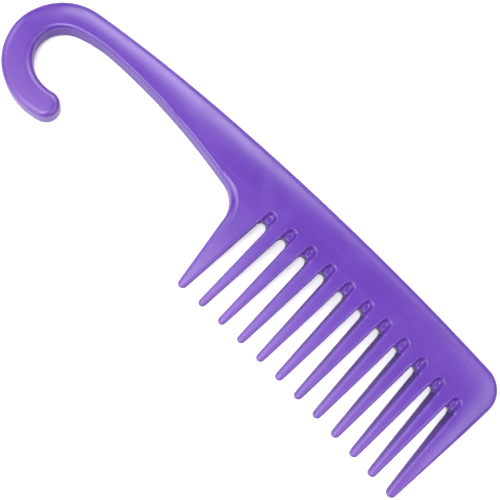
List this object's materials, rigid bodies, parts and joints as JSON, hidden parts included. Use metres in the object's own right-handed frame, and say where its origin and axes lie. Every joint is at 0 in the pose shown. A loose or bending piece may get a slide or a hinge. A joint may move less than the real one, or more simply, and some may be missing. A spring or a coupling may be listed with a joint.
{
  "type": "wide tooth comb",
  "caption": "Flat wide-tooth hair comb with a hook-shaped handle end, a crowned blade and stout tapered teeth.",
  "frame": {"origin": "centre of the comb's plan box, on the surface that its back lies on", "axes": "+X along the comb from the hook to the blade's free end, -Y the way the teeth point, +Z out of the front face"},
  "size_m": [0.24, 0.0668, 0.009],
  "materials": {
    "comb_plastic": "satin gloss, purple moulded through, lightly translucent at the thin tooth tips"
  },
  "bodies": {
    "root": {"hook": "comb_plastic", "handle": "comb_plastic", "blade": "comb_plastic", "tooth_01": "comb_plastic", "tooth_02": "comb_plastic", "tooth_03": "comb_plastic", "tooth_04": "comb_plastic", "tooth_05": "comb_plastic", "tooth_06": "comb_plastic", "tooth_07": "comb_plastic", "tooth_08": "comb_plastic", "tooth_09": "comb_plastic", "tooth_10": "comb_plastic", "tooth_11": "comb_plastic", "tooth_12": "comb_plastic"}
  },
  "joints": []
}
